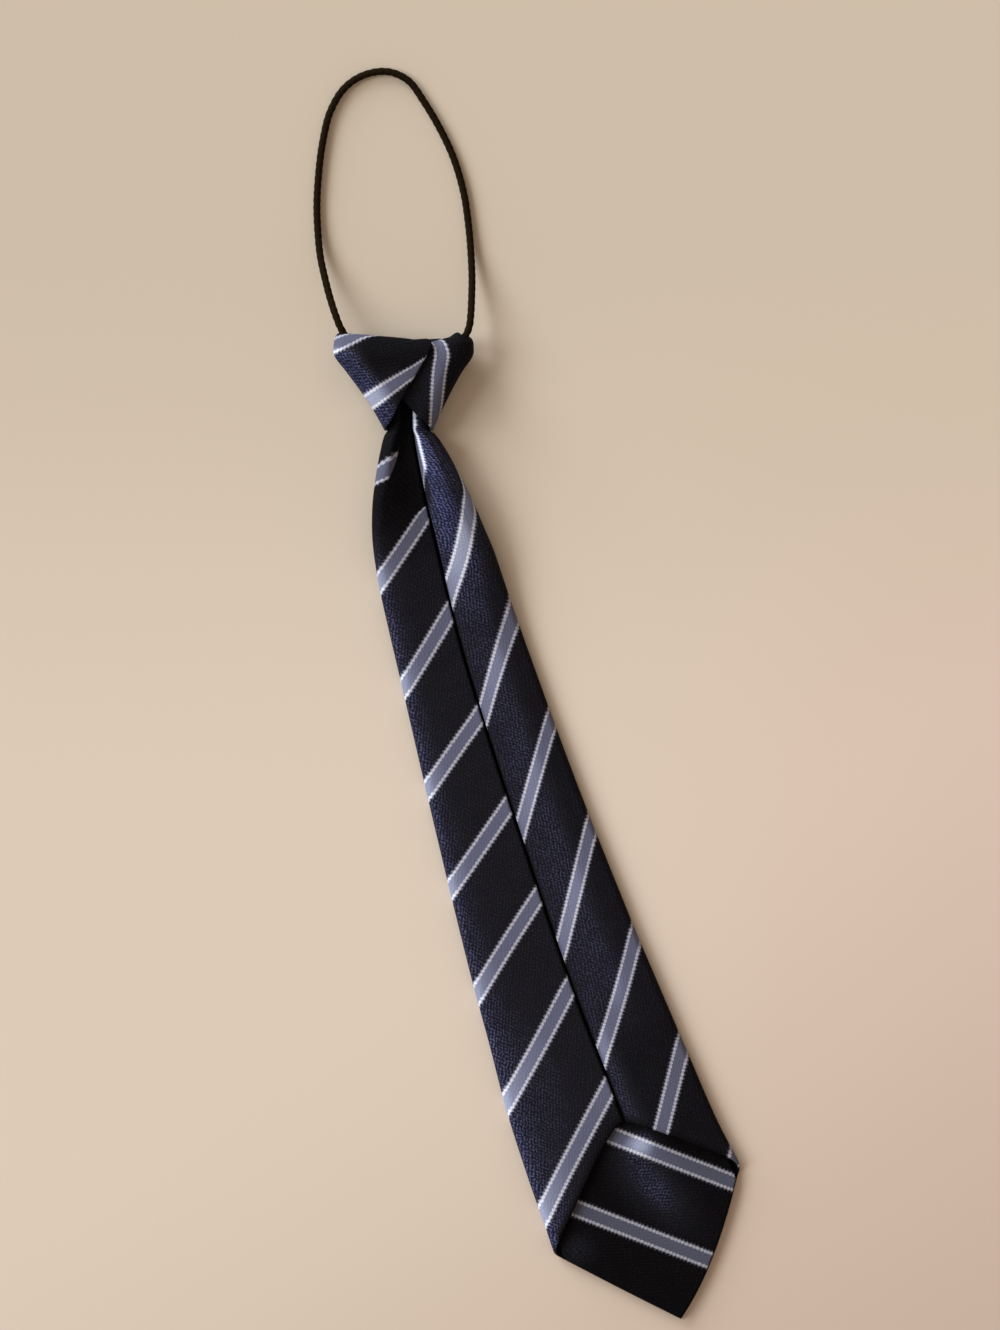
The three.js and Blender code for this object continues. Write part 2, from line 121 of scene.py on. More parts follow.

# The blue sheen of the cloth is a painted sheen, drawn into its colour and counted from 0 to 1, and places
# across a flap from 0 at its fold to 1 at the seam. The right flap's starts with a plain value, and rises by
# so much between two places across.
FRONT_SHEEN = 0.5
RIGHT_SHEEN = {
    "foot": (0.12, (0.38, 0.65, 0.93)),
    "along": (0.18, (0.3, 0.1, 0.5), (-0.07, 0.6, 1)),
    "by_knot": (0.2, (0.66, -0.2, 0.3), (-0.18, 0.65, 1)),
}
RIGHT_SHEEN_CHANGES = {"along": (88, 118), "by_knot": (236, 276)}  # from the point
# The left flap's painted sheen fades below the knot into painted shade, where its fold keeps a little. On
# its foot it changes by so much between two places up and two across: it is less by the seam and more by
# the fold.
LEFT_SHEEN = {"plain": 0.27, "fold": 0.28, "fold_power": 5, "fades": (288, 262), "fold_keeps": 0.06}
LEFT_FOOT_SHEEN = [(-0.12, (80, 60), (0, 0.7)), (0.11, (130, 90), (0.8, 0.4))]
# Painted shade: the painted sheen fades at each flap's end, over a depth, and along the seam.
EDGE_SHADE = {"depth": 4, "seam_across": (0.965, 0.985), "seam_keeps": 0.2}  # the flaps' edges lose their sheen
# How wide the stripes are, 1 being plain, with a rise or fall between two places up.
STRIPE_WIDTH = {"left": (1, (-0.15, 280, 292)), "right": (1, (0.3, 215, 250))}
# The right flap's highest stripe ends in a narrow leaf beside the seam, which is drawn duller and fainter
# as painted shade.
LEAF = {"up": (280, 288), "narrower": (0.5, 0.6, 0.9), "across": (0.7, 0.85), "duller": 0.6, "fainter": 0.45}

# How many points the blade's cloth has round each of its parts and along it, and its rough size.
BLADE_GRID = {"flap": 30, "fold": 13, "half_front": 21, "along": 230, "flap_width": 25, "length": 280}

# The lining of the point, and how its own stripes run: the angle that they drop at, and the first one's
# height on the centre line.
TIPPING = {"inset": -0.2, "foot": 0.6, "under_flaps": 7}
TIPPING_GRID = {"across": 150, "up": 70, "height": 50}
TIPPING_STRIPES = {"drop": math.radians(39.7), "pitch": 27.0, "first": 63.4}
# Its small pleats: where they lie, and what each is like, with a painted sheen on them.
PLEATS = {"middle": (-25.5, 33.0), "reach": (4.5, 4.5)}
PLEAT = {"height": 0.5, "pitch": 1.9, "lean": 0.5, "sheen": 0.4}
# Its painted sheen: a slanting streak, and a painted highlight on its upper stripe.
SHEEN_STREAK = {"middle": (5, 46), "reach": (7, 16), "sheen": 0.62, "lean": math.radians(23.6)}
GLEAM = {"middle": (6, 60), "reach": (5, 4), "sheen": 0.8}

# The knot stands upright on its own axis, which leans from the blade's.
KNOT_LEAN = math.atan(1 / 3)
KNOT_MOUTH = (7.6, 309.5)  # the middle of its lower end
KNOT = table(
    "up left right front back",
    [0, 8.0, 7.9, 0.5, 10.6],
    [6.5, 11.6, 10.9, 0, 12.0],
    [14, 16.6, 14.6, 0, 13.7],
    [20, 21.1, 18.0, 0, 15.0],
    [25, 24.8, 21.4, 0, 15.8],
    [28, 25.0, 21.6, 0.3, 15.6],
    [32.5, 23.9, 20.6, 1.2, 14.4],
)
KNOT_FULLNESS = 0.72  # 1 is a plain oval section, and less is squarer
KNOT_TOP = {"middle": 29.4, "left_slope": -0.1, "right_slope": 0.06, "widest_at": 25}
# The knot's rim turns over and in, but by no more than a share of the way to the middle of its depth.
RIM_ROLL = {"steps": 14, "height": 2.2, "inward": 3.0, "sideways": 1.5, "share": 0.55, "middle": 7.95}
WING_EDGE = {"x": -2.3, "up": 10.2, "slope": 0.6}  # the left wing's folded edge, from the tip of the notch
NOTCH = {"left_slope": 2.0, "right_slope": 0.97}
FOOT_ROUNDS = 12  # enough for the strip's foot to settle on a side of the notch
WING_TUCK = math.radians(26)  # the right wing goes on under the left one by this turn
WING_SETTLE = math.radians(34)  # and rises to the knot's outside over this one
KNOT_TURN = WING_TUCK + 2 * math.pi  # the whole turn of the wound strip
WING_SHARE = 0.3  # of the wound strip, at each end, that follows the left wing's slanting edge
KNOT_GRID = {"around": 200, "up": 50, "length": 110, "height": 28}
# How its stripes run on the left wing, how much shallower the knot is taken to be for them than it is, and
# how far they have drifted by the right wing.
KNOT_STRIPES = {"rise": math.radians(33), "middle": 15.6, "pitch": 22.3, "shallow": 0.96, "drift": 2.6}
# For its stripes the strip is unrolled between two heights, a little past both of its ends, and laid on the
# knot as it stands at one angle of the left wing.
UNROLL = {"low": 2.0, "high": 26.0, "past": 0.15, "steps": 260, "match_angle": 0.3 - 1.5 * math.pi}
RIGHT_WING_ENDS = 0.4  # as a share of the strip
LEFT_WING_BEGINS = (0.6, 0.75)
# The painted sheen of the knot. Each wing has a painted gleam, and the left one is painted brightest along
# its left side, but not at its top.
WING_SHEEN = {"right": 0.14, "left": 0.09}
RIGHT_GLEAM = {"middle": (7, 14), "reach": (3, 8), "sheen": 0.1}
LEFT_GLEAM = {"middle": (-5, 16), "reach": (4, 4), "sheen": 0.25}
LEFT_SIDE = {"sheen": 0.73, "across": (12, 4), "top": (25, 29), "top_loses": 0.95}
# How wide the stripes are on each wing. On the left one they narrow across, to its folded edge.
WING_STRIPES = {"right": 0.92, "left": (1.24, (0.12, 20, 26)), "at_edge": 0.88, "across": (-12, 3)}

CORD_RADIUS = 1.25
# The elastic's route, upright on the knot's axis, from the middle of the neckband and back to it.
CORD_ROUTE = [
    (-0.5, 26.0, 8.0), (-6.5, 26.2, 8.0), (-12.5, 26.8, 8.2), (-17.0, 28.2, 8.6), (-20.4, 30.6, 9.2),
    (-22.7, 34.2, 9.6), (-24.5, 38.8, 9.0), (-26.3, 44.4, 7.2), (-28.0, 51.0, 5.0), (-29.5, 58.0, 3.1),
    (-30.3, 65.5, 1.8), (-30.7, 74.5, 1.3), (-30.3, 83.5, 1.3), (-28.9, 95.5, 1.3), (-26.2, 106.5, 1.3),
    (-21.2, 114.6, 1.3), (-14.2, 118.9, 1.3), (-6.8, 119.7, 1.3), (-0.2, 116.7, 1.3), (5.0, 109.7, 1.3),
    (10.7, 100.0, 1.3), (15.0, 90.5, 1.3), (18.2, 79.5, 1.3), (19.8, 69.0, 1.35), (20.6, 60.0, 2.1),
    (21.0, 51.5, 3.9), (20.9, 44.5, 6.3), (20.6, 38.2, 8.3), (20.1, 34.4, 9.1), (18.6, 31.0, 9.3),
    (15.6, 28.3, 8.9), (11.5, 26.8, 8.4), (6.3, 26.1, 8.1), (0.5, 26.0, 8.0),
]
CORD_GRID = {"along": 1100, "around": 24}
BRAID = {"strands": 4, "turn": 2.6, "low": -0.1, "height": 0.09}  # turn: in radians, for every mm along
# left_end and right_end are counted in points of the elastic's route. The ends of the band turn in by a
# share of its size, over a length, and its wall grows from a thin edge to its whole thickness.
NECKBAND = {"half_height": 3.4, "half_depth": 3.2, "left_end": 3.2, "right_end": 29}
NECKBAND_END = {"turn_in": 0.3, "length": 2.6, "edge": 0.4}
NECKBAND_GRID = {"along": 90, "around": 40}
NECKBAND_CLOTH = (0.18, 0.82)  # the part of a stripe's pitch that it shows, which is plain twill
# The band's painted sheen.
NECKBAND_SHEEN = 0.1


def lerp(a, b, t):
    """A value that goes from a to b as t goes from 0 to 1."""
    return a + (b - a) * t


def smoothstep(x, start, end):
    """0 up to the start, 1 from the end on, and a smooth rise between them. The end can be the lower one."""
    t = np.clip((x - start) / (end - start), 0, 1)
    return t * t * (3 - 2 * t)


def with_rises(x, value, *rises):
    """A value and its smooth rises. Each says how much it is, and between which two places."""
    for rise, start, end in rises:
        value = value + rise * smoothstep(x, start, end)
    return value


def turn_axes(x, y, angle):
    """Places across and up, counted along axes that are turned to the left by an angle."""
    c, s = math.cos(angle), math.sin(angle)
    return x * c + y * s, y * c - x * s


def spot(x, y, middle, reach, sheen=1, lean=0):
    """A soft spot, strongest in its middle, that fades by its reach across and up, turned by its lean."""
    across, up = turn_axes(x - middle[0], y - middle[1], lean)
    return sheen * np.exp(-(across / reach[0]) ** 2 - (up / reach[1]) ** 2)


def from_knot(points):
    """Points upright on the knot's axis, moved to where they are from the blade's point."""
    x, up, z = np.moveaxis(np.asarray(points, float), -1, 0)
    x, up = turn_axes(x, up, KNOT_LEAN)
    return np.stack([KNOT_MOUTH[0] + x, KNOT_MOUTH[1] + up, z], -1)


def in_frame(points):
    """Points from the blade's point, in mm, moved to the frame, in metres."""
    return (np.asarray(points, float) - [ORIGIN[0], ORIGIN[1], 0]) * MM


def new_object(name, data):
    """An object in the scene."""
    made = bpy.data.objects.new(name, data)
    bpy.context.scene.collection.objects.link(made)
    return made


def make_piece(name, points, faces, cloth_map, look, material):
    """A mesh of cloth or cord. cloth_map says, for each point or for each corner of each face, how far along
    and across the threads it lies and how far across the stripes, in mm. look says for each point how
    much of the painted blue sheen shows there, how wide the stripes are, 1 being plain, and how much of
    them shows."""
    mesh = bpy.data.meshes.new(name)
    mesh.from_pydata(in_frame(points).tolist(), [], faces.tolist())
    corners = np.empty(len(mesh.loops), int)
    mesh.loops.foreach_get("vertex_index", corners)
    places = cloth_map[corners] if len(cloth_map) == len(points) else cloth_map
    shine, width, shown = look[corners].T
    layers = {
        "threads": places[:, :2],
        "stripes": np.stack([places[:, 2], width], -1),
        "sheen": np.stack([shine, shown], -1),
    }
    for layer, values in layers.items():
        mesh.uv_layers.new(name=layer).data.foreach_set("uv", values.astype(np.float32).ravel())
    mesh.shade_smooth()
    mesh.materials.append(material)
    return new_object(name, mesh)


def grid_faces(index):
    """The four corners of each face of a grid of points."""
    return np.stack([index[:-1, :-1], index[1:, :-1], index[1:, 1:], index[:-1, 1:]], -1).reshape(-1, 4)


def depth_from_edges(middle):
    """How far in from the nearest edge of a grid each of its points lies."""
    depths = []
    for axis in (0, 1):
        steps = np.linalg.norm(np.diff(middle, axis=axis), axis=-1)
        start = np.insert(np.cumsum(steps, axis=axis), 0, 0, axis=axis)
        total = np.take(start, [-1], axis=axis)
        depths += [start, total - start]
    return np.min(depths, axis=0)


PLAIN_LOOK = (0, 1, 0)  # no sheen and no stripes


def cloth_wall(name, middle, cloth_map, look, material, plain_inside=False):
    """A closed wall of cloth with round edges, from a grid of points on its middle surface. With
    plain_inside the side that the normals point to shows the cloth's dull back."""
    columns, rows = middle.shape[:2]
    reach = np.clip(depth_from_edges(middle) / (CLOTH / 2), 0, 1)
    half = CLOTH / 2 * np.sqrt(1 - (1 - reach) ** 2)
    normal = np.cross(np.gradient(middle, axis=0), np.gradient(middle, axis=1))
    normal *= (half / np.linalg.norm(normal, axis=-1))[..., None]
    over = np.arange(columns * rows).reshape(columns, rows)
    under = over.copy()
    inside = (slice(1, -1), slice(1, -1))
    under[inside] = columns * rows + np.arange((columns - 2) * (rows - 2)).reshape(columns - 2, rows - 2)
    faces = np.concatenate([grid_faces(over), grid_faces(under)[:, ::-1]])
    over_look = look.copy()
    if plain_inside:
        over_look[inside] = PLAIN_LOOK
    points, places, looks = (
        np.concatenate([above.reshape(-1, 3), below[inside].reshape(-1, 3)])
        for above, below in ((middle + normal, middle - normal), (cloth_map, cloth_map), (over_look, look))
    )
    return make_piece(name, points, faces, places, looks, material)


EDGE_STEPS = np.array([0, 0.05, 0.2, 0.42, 0.75])  # how far in from a round edge its first rows lie


def shares_from_edge(count, length):
    """Shares from 0 to 1, close together in a round edge at 0."""
    edge = EDGE_STEPS / length
    return np.concatenate([edge, np.linspace(edge[-1], 1, count)[1:]])


def fold_axes(row):
    """Where the axes of the blade's two folds are."""
    left = row["left"] + row["left_roll"] + CLOTH / 2
    right = row["right"] - row["right_roll"] - CLOTH / 2
    return {"left": left, "right": right}


def blade_stations():
    """Across the unfolded blade, from the left flap's free edge round the front to the right flap's. Each
    station is a part of the blade, a side and a place in the part, from 0 to 1."""
    axis = fold_axes(BLADE_FOOT)
    tip = -axis["left"] / (axis["right"] - axis["left"])
    flap = 1 - shares_from_edge(BLADE_GRID["flap"], BLADE_GRID["flap_width"])
    fold = np.linspace(0, 1, BLADE_GRID["fold"])
    half_front = BLADE_GRID["half_front"]
    front = np.concatenate([np.linspace(0, tip, half_front), np.linspace(tip, 1, half_front)[1:]])
    stations = [("flap", "left", t) for t in flap[:-1]]
    stations += [("fold", "left", t) for t in fold[:0:-1]]
    stations += [("front", "", t) for t in front]
    stations += [("fold", "right", t) for t in fold[1:]]
    stations += [("flap", "right", t) for t in flap[-2::-1]]
    return stations


def blade_point(station, distance):
    """Points on the middle of the blade's cloth, at distances from its point."""
    part, side, t = station
    row = read(BLADE, "from", distance)
    low = row["base"] + CLOTH / 2
    axis = fold_axes(row)
    if part == "front":
        x, z = lerp(axis["left"], axis["right"], t), low
    else:
        out = -1 if side == "left" else 1
        roll = row[side + "_roll"]
        if part == "fold":
            turn = (t - 0.5) * math.pi
            x = axis[side] + out * roll * math.cos(turn)
            z = low + roll + roll * math.sin(turn)
        else:
            steep = smoothstep(distance, *CREASE["steep_up"]) if side == "left" else 0
            fall = row[side + "_fall"] * lerp(smoothstep(t, 0, 1), 1 - (1 - t) ** CREASE["power"], steep)
            crown = row[side + "_crown"] * math.sin(t * math.pi)
            x = lerp(axis[side], row["seam"] + out * SEAM_GAP / 2, t)
            z = low + 2 * roll - fall + crown
    rise = row["slant"] * (x - (row["left"] + row["right"]) / 2)
    return np.stack([x, distance + rise, z], -1)


def point_edge(x):
    """How far up from the point its V edge is."""
    edge = POINT_EDGE["left" if x < 0 else "right"]
    return edge["rise"] * abs(x) + edge["curve"] * x * x


def blade_start(station):
    """How far from the point the cloth starts: on the V edge, at a fold, or on a flap's slanting end."""
    part, side, t = station
    if part == "front":
        return point_edge(blade_point(station, BLADE_FOOT["from"])[0])
    end = FLAP_END[side]
    if part == "flap":
        line = lerp(end["at_fold"], end["at_seam"], t)
        return line - end["droop"] * t ** DROOP_POWER + end["arch"] * math.sin(t * math.pi)
    corner = point_edge(blade_point((part, side, 0), BLADE_FOOT["from"])[0])
    return lerp(corner, end["at_fold"], t)


def crossing(line, distance):
    """Which stripe crosses a line of the blade, at distances from its point."""
    places, stripes = np.array(CROSSINGS[line], float)[::-1].T
    slopes = np.diff(stripes) / np.diff(places)
    below = slopes[0] * np.minimum(distance - places[0], 0)
    above = slopes[-1] * np.maximum(distance - places[-1], 0)
    return np.interp(distance, places, stripes) + below + above


def blade_map(station, points):
    """How far along and across the threads the blade's points lie, and how far across the stripes."""
    part, side, t = station
    up = points[:, 1]
    row = read(BLADE, "from", up)
    axis = fold_axes(row)
    half_fold = {name: math.pi / 2 * row[name + "_roll"] for name in axis}
    front = half_fold["left"] + axis["right"] - axis["left"] + half_fold["right"]
    if part == "front" or (part == "fold" and t <= 0.5):
        if part == "front":
            share = (half_fold["left"] + t * (axis["right"] - axis["left"])) / front
        else:
            share = half_fold[side] * (1 - 2 * t) / front
            share = share if side == "left" else 1 - share
        across = lerp(crossing("left_fold", up), crossing("right_fold", up), share)
        arc = (share - 0.5) * front
    else:
        out = -1 if side == "left" else 1
        width = abs(row["seam"] + out * SEAM_GAP / 2 - axis[side])
        reach = half_fold[side] * (2 * t - 1) if part == "fold" else half_fold[side] + t * width
        share = reach / (half_fold[side] + width)
        across = lerp(crossing(side + "_fold", up), crossing(side + "_seam", up), share)
        arc = out * (front / 2 + reach)
    return np.stack([*turn_axes(arc, up, -BIAS), across * PITCH], -1)


def right_flap_look(t, from_fold, up):
    """The right flap's painted sheen, how wide its stripes are, and how much of them shows, with its leaf,
    which is drawn in painted shade.
    """
    shine = with_rises(from_fold, *RIGHT_SHEEN["foot"])
    for name, places in RIGHT_SHEEN_CHANGES.items():
        shine = lerp(shine, with_rises(from_fold, *RIGHT_SHEEN[name]), smoothstep(up, *places))
    at_leaf = smoothstep(up, *LEAF["up"])
    width = with_rises(up, *STRIPE_WIDTH["right"]) - at_leaf * with_rises(t, 0, LEAF["narrower"])
    leaf = at_leaf * smoothstep(from_fold, *LEAF["across"])
    return shine * (1 - LEAF["duller"] * leaf), width, 1 - LEAF["fainter"] * leaf


def left_flap_look(from_fold, up):
    """The left flap's painted sheen, how wide its stripes are, and how much of them shows beside the crease,
    where a fold and painted shade hide them.
    """
    shine = LEFT_SHEEN["plain"] + LEFT_SHEEN["fold"] * (1 - from_fold) ** LEFT_SHEEN["fold_power"]
    for more, places, across in LEFT_FOOT_SHEEN:
        shine = shine + more * smoothstep(up, *places) * smoothstep(from_fold, *across)
    shine = shine * smoothstep(up, *LEFT_SHEEN["fades"])
    crease = CREASE_HIDES_AND_SHADES["share"] * smoothstep(up, *CREASE_HIDES_AND_SHADES["moves_up"])
    past_crease = smoothstep(from_fold, crease, crease + CREASE_HIDES_AND_SHADES["soft"])
    shown = 1 - smoothstep(up, *CREASE_HIDES_AND_SHADES["up"]) * past_crease
    return shine, with_rises(up, *STRIPE_WIDTH["left"]), shown


def blade_look(station, up):
    """How much painted sheen the blade's cloth shows, how wide its stripes are, and how much of them
    shows.
    """
    part, side, t = station
    plain = np.ones_like(up)
    if part == "front":
        return np.stack([FRONT_SHEEN * plain, plain, plain], -1)
    from_fold = t if part == "flap" else 0
    if side == "right":
        shine, width, shown = right_flap_look(t, from_fold, up)
    else:
        shine, width, shown = left_flap_look(from_fold, up)
        if part == "fold":
            shine = shine + LEFT_SHEEN["fold_keeps"]
    if part == "flap":
        # Painted shade at each flap's end and along the seam.
        shine = shine * smoothstep(up - blade_start(station), 0, EDGE_SHADE["depth"])
        shine = shine * lerp(1, EDGE_SHADE["seam_keeps"], smoothstep(t, *EDGE_SHADE["seam_across"]))
    return np.stack([shine, width, shown], -1)


def make_blade(material):
    """The long cloth, folded round at both sides to meet in a seam down the back."""
    end = BLADE["from"][-1]
    shares = shares_from_edge(BLADE_GRID["along"], BLADE_GRID["length"])
    columns = []
    for station in blade_stations():
        points = blade_point(station, lerp(blade_start(station), end, shares))
        columns.append([points, blade_map(station, points), blade_look(station, points[:, 1])])
    grids = np.moveaxis(columns, 1, 0)
    return cloth_wall("folded_blade", *grids, material, plain_inside=True)


def make_tipping(material):
    """The lining of the point: inside the V edges and on under both flaps, with small pleats at its left."""
    inset = CLOTH + TIPPING["inset"]
    left = BLADE_FOOT["left"] + BLADE_FOOT["left_roll"] + inset
    right = BLADE_FOOT["right"] - BLADE_FOOT["right_roll"] - inset
    flat = np.linspace(left + 1, right - 1, TIPPING_GRID["across"])
    columns = np.concatenate([left + EDGE_STEPS, flat, right - EDGE_STEPS[::-1]])
    flap_ends = [FLAP_END["left"]["at_fold"], FLAP_END["left"]["at_seam"], FLAP_END["right"]["at_fold"]]
    high = np.interp(columns, [left, BLADE_FOOT["seam"], right], flap_ends) + TIPPING["under_flaps"]
    low = TIPPING["foot"] + np.array([point_edge(x) for x in columns])
    y = lerp(low[:, None], high[:, None], shares_from_edge(TIPPING_GRID["up"], TIPPING_GRID["height"]))
    x = np.broadcast_to(columns[:, None], y.shape)
    pleated = spot(x, y, **PLEATS)
    pleats = PLEAT["height"] * np.cos((x + PLEAT["lean"] * y) * 2 * math.pi / PLEAT["pitch"]) * pleated
    z = CLOTH + LAYER_GAP + CLOTH / 2 + np.maximum(pleats, 0)
    along, rise = turn_axes(x, y, -TIPPING_STRIPES["drop"])
    across = TIPPING_STRIPES["first"] * math.cos(TIPPING_STRIPES["drop"]) - rise
    places = np.stack([along, across, across * PITCH / TIPPING_STRIPES["pitch"]], -1)
    # Painted sheen: the streak, a sheen on the pleats and a highlight on the upper stripe.
    shine = spot(x, y, **SHEEN_STREAK) + PLEAT["sheen"] * pleated + spot(x, y, **GLEAM)
    look = np.stack([shine, np.ones_like(x), np.ones_like(x)], -1)
    return cloth_wall("point_lining", np.stack([x, y, z], -1), places, look, material)


def knot_point(angle, up, inset):
    """The middle of the knot's cloth at an angle round it, which is 0 at the right and 90 at the back."""
    row = read(KNOT, "up", up)
    c, s = np.cos(angle), np.sin(angle)
    half = np.where(c < 0, row["left"], row["right"]) - CLOTH / 2 - inset
    depth = (row["back"] - row["front"]) / 2 - CLOTH / 2 - inset
    x = half * np.sign(c) * np.abs(c) ** KNOT_FULLNESS
    z = (row["back"] + row["front"]) / 2 + depth * np.sign(s) * np.abs(s) ** KNOT_FULLNESS
    return np.stack([x, np.broadcast_to(up, x.shape), z], -1)


def wing_edge_angle(up):
    """The angle at which the left wing's folded edge lies at a height."""
    row = read(KNOT, "up", up)
    x = WING_EDGE["x"] + WING_EDGE["slope"] * (up - WING_EDGE["up"])
    half = np.where(x < 0, row["left"], row["right"])
    return np.arccos(np.sign(x) * np.minimum(np.abs(x) / half, 1) ** (1 / KNOT_FULLNESS))


def strip_angle(share, up):
    """The angle at which a column of the wound strip lies at a height."""
    straight = wing_edge_angle(KNOT_TOP["middle"] / 2)
    follow = smoothstep(abs(share - 0.5), 0.5 - WING_SHARE, 0.5)
    edge = lerp(straight, wing_edge_angle(np.maximum(up, WING_EDGE["up"])), follow)
    return edge + WING_TUCK - share * KNOT_TURN


def strip_foot(share):
    """Where a column of the strip starts: at the knot's lower end, or on a side of the notch."""
    if abs(share - 0.5) < 0.5 - WING_SHARE:
        return 0
    slope = NOTCH["right_slope"] if share < 0.5 else NOTCH["left_slope"]
    foot = WING_EDGE["up"]
    for _ in range(FOOT_ROUNDS):
        away = knot_point(strip_angle(share, foot), foot, 0)[0] - WING_EDGE["x"]
        hidden = share < 0.5 and away < 0
        drop = 0 if hidden else slope * abs(away)
        foot = float(np.clip(WING_EDGE["up"] - drop, 0, WING_EDGE["up"]))
    return foot


def apart(p, q):
    """How far apart two points are."""
    return np.linalg.norm(p - q)


def placed(a, b, from_a, from_b):
    """The flat point at these distances from two others, on the right of the way between them."""
    way = b - a
    gap = np.linalg.norm(way)
    along = (from_a ** 2 - from_b ** 2 + gap ** 2) / (2 * gap)
    aside = math.sqrt(max(from_a ** 2 - along ** 2, 0))
    return a + way / gap * along + np.array([way[1], -way[0]]) / gap * aside


def unrolled(low, high):
    """The two edges of a strip, unrolled flat triangle by triangle."""
    flat_low, flat_high = [np.zeros(2)], [np.array([0, apart(low[0], high[0])])]
    for k in range(len(low) - 1):
        a, b = flat_low[-1], flat_high[-1]
        next_low = placed(a, b, apart(low[k + 1], low[k]), apart(low[k + 1], high[k]))
        next_high = placed(next_low, b, apart(high[k + 1], low[k + 1]), apart(high[k + 1], high[k]))
        flat_low.append(next_low)
        flat_high.append(next_high)
    return np.array(flat_low), np.array(flat_high)


def knot_map(middle, angles, shares):
    """How far along and across the threads the wound strip's points lie, and how far across the stripes,
    from the strip unrolled flat."""
    heights = (UNROLL["low"], UNROLL["high"])
    steps = np.linspace(-UNROLL["past"], 1 + UNROLL["past"], UNROLL["steps"])
    straight = strip_angle(0.5, 0) + (0.5 - steps) * KNOT_TURN
    low, high = (knot_point(straight, up, 0) * [1, 1, KNOT_STRIPES["shallow"]] for up in heights)
    edges = unrolled(low, high)
    match = np.argmin(np.abs(straight - UNROLL["match_angle"]))
    way, real = (edges[1] - edges[0])[match], (high - low)[match, :2]
    turn = math.atan2(real[1], real[0]) - math.atan2(way[1], way[0])
    start, place = edges[0][match], low[match, :2]
    edges = [np.stack(turn_axes(*(edge - start).T, -turn), -1) + place for edge in edges]
    wall = middle.shape[1] - RIM_ROLL["steps"]
    round_rim = np.cumsum(np.linalg.norm(np.diff(middle[:, wall - 1:], axis=1), axis=-1), axis=1)
    climb = np.concatenate([middle[:, :wall, 1], middle[:, wall - 1:wall, 1] + round_rim], axis=1)
    order = np.argsort(straight)
    flat = []
    for axis in (0, 1):
        at_low, at_high = (np.interp(angles, straight[order], edge[order, axis]) for edge in edges)
        flat.append(lerp(at_low, at_high, (climb - heights[0]) / (heights[1] - heights[0])))
    along, across = turn_axes(*flat, KNOT_STRIPES["rise"])
    across = across - KNOT_STRIPES["middle"]
    stripes = across * PITCH / KNOT_STRIPES["pitch"] + KNOT_STRIPES["drift"] * (1 - shares[:, None])
    return np.stack([along, across, stripes], -1)


def knot_look(middle, shares):
    """How much painted sheen the wound strip shows, and how wide its stripes are, on the right wing and
    the left.
    """
    x, up = middle[..., 0], middle[..., 1]
    share = shares[:, None]
    left_wing = smoothstep(share, *LEFT_WING_BEGINS)
    right = WING_SHEEN["right"] + spot(x, up, **RIGHT_GLEAM) * (share < RIGHT_WING_ENDS)
    from_left = x + read(KNOT, "up", up)["left"]
    by_left = smoothstep(from_left, *LEFT_SIDE["across"])
    by_left = by_left * (1 - LEFT_SIDE["top_loses"] * smoothstep(up, *LEFT_SIDE["top"]))
    left = WING_SHEEN["left"] + LEFT_SIDE["sheen"] * by_left + spot(x, up, **LEFT_GLEAM)
    left_width = with_rises(up, *WING_STRIPES["left"])
    left_width = lerp(left_width, WING_STRIPES["at_edge"], smoothstep(x, *WING_STRIPES["across"]))
    width = lerp(WING_STRIPES["right"], left_width, left_wing)
    return np.stack([lerp(right, left, left_wing), width, np.ones_like(x)], -1)


def make_knot_wrap(material):
    """The strip wound round the knot, whose rim turns over and in."""
    edge = EDGE_STEPS / KNOT_GRID["length"]
    flat = np.linspace(edge[-1], 1 - edge[-1], KNOT_GRID["around"])
    shares = np.concatenate([edge, flat[1:-1], 1 - edge[::-1]])
    heights = shares_from_edge(KNOT_GRID["up"], KNOT_GRID["height"])
    turns = np.linspace(0, math.pi, RIM_ROLL["steps"] + 1)[1:]
    turned = (1 - np.cos(turns))[:, None]
    middle, angles = [], []
    for share in shares:
        outside = smoothstep(share * KNOT_TURN, WING_TUCK, WING_TUCK + WING_SETTLE)
        inset = (CLOTH + LAYER_GAP) * (1 - outside)
        widest = knot_point(strip_angle(share, KNOT_TOP["widest_at"]), KNOT_TOP["widest_at"], 0)
        slope = KNOT_TOP["left_slope" if widest[0] < 0 else "right_slope"]
        top = KNOT_TOP["middle"] + slope * widest[0] - inset
        up = lerp(strip_foot(share), top - RIM_ROLL["height"], heights)
        angle = strip_angle(share, up)
        wall = knot_point(angle, up, inset)
        depth = wall[-1, 2] - RIM_ROLL["middle"]
        inward = min(RIM_ROLL["inward"], RIM_ROLL["share"] * abs(depth)) * np.sign(depth)
        sideways = min(RIM_ROLL["sideways"], abs(wall[-1, 0]) / 2) * np.sign(wall[-1, 0])
        rise = RIM_ROLL["height"] * np.sin(turns)[:, None]
        rim = wall[-1] + np.concatenate([-sideways * turned, rise, -inward * turned], axis=1)
        middle.append(np.concatenate([wall, rim]))
        angles.append(np.concatenate([angle, np.full(len(turns), angle[-1])]))
    middle = np.array(middle)
    places = knot_map(middle, np.array(angles), shares)
    return cloth_wall("wound_knot", from_knot(middle), places, knot_look(middle, shares), material)


